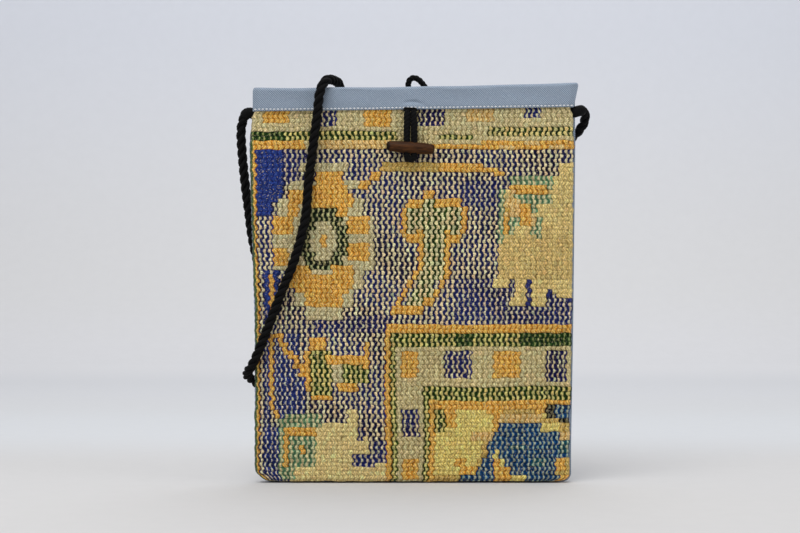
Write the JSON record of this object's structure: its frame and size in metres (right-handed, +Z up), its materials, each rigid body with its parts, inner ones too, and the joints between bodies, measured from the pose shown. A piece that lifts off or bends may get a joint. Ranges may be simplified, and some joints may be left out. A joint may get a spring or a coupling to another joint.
{
  "type": "flat shoulder pouch",
  "caption": "Flat woven rug shoulder pouch with a cloth band, a twisted rope strap and a wooden toggle that closes through a cord loop.",
  "frame": {"origin": "middle of the bottom edge that the pouch stands on, in the plane of the side seams", "axes": "+Z up, towards the mouth; the rug front faces -Y; +X to the right as seen from the front"},
  "size_m": [0.2527, 0.041, 0.2892],
  "materials": {
    "rug_pile": "coarse woven wool rug, cream with coloured figures",
    "band_twill": "light blue cotton twill",
    "lining_cotton": "plain off-white cotton",
    "seam_cloth": "folded rug and cloth edge",
    "white_thread": "white sewing thread",
    "black_rope": "black twisted cotton rope",
    "black_cord": "black braided cord",
    "dark_wood": "dark brown oiled wood"
  },
  "bodies": {
    "bag": {"front_rug_panel": "rug_pile", "back_panel": "band_twill", "front_lining": "lining_cotton", "back_lining": "lining_cotton", "front_band": "band_twill", "back_band": "band_twill", "bottom_fold": "seam_cloth", "left_side_seam": "seam_cloth", "right_side_seam": "seam_cloth", "front_band_stitching": "white_thread", "back_band_stitching": "white_thread", "left_edge_stitching": "white_thread", "right_edge_stitching": "white_thread", "bottom_edge_stitching": "white_thread", "strap_cord": "black_rope", "left_strap_tack": "black_cord", "right_strap_tack": "black_cord", "toggle_cord_tack": "black_cord", "loop_root": "black_cord", "loop_tack": "black_cord"},
    "toggle_cord": {"toggle_cord": "black_cord"},
    "toggle": {"toggle": "dark_wood"},
    "closure_loop": {"closure_loop": "black_cord"}
  },
  "joints": [
    {"name": "toggle_flip", "type": "hinge", "parent": "bag", "child": "toggle_cord", "pos_m": [-0.0021, -0.017, 0.2636], "axis": [-1, 0, 0], "range_deg": [0, 172]},
    {"name": "toggle_slide", "type": "slide", "parent": "toggle_cord", "child": "toggle", "axis": [0, 0, 1], "range_m": [0, 0.012]},
    {"name": "loop_fold", "type": "hinge", "parent": "bag", "child": "closure_loop", "pos_m": [0.0019, 0.0049, 0.283], "axis": [1, 0, 0], "range_deg": [-55, 70], "stiffness_Nm_per_rad": 0.001}
  ]
}
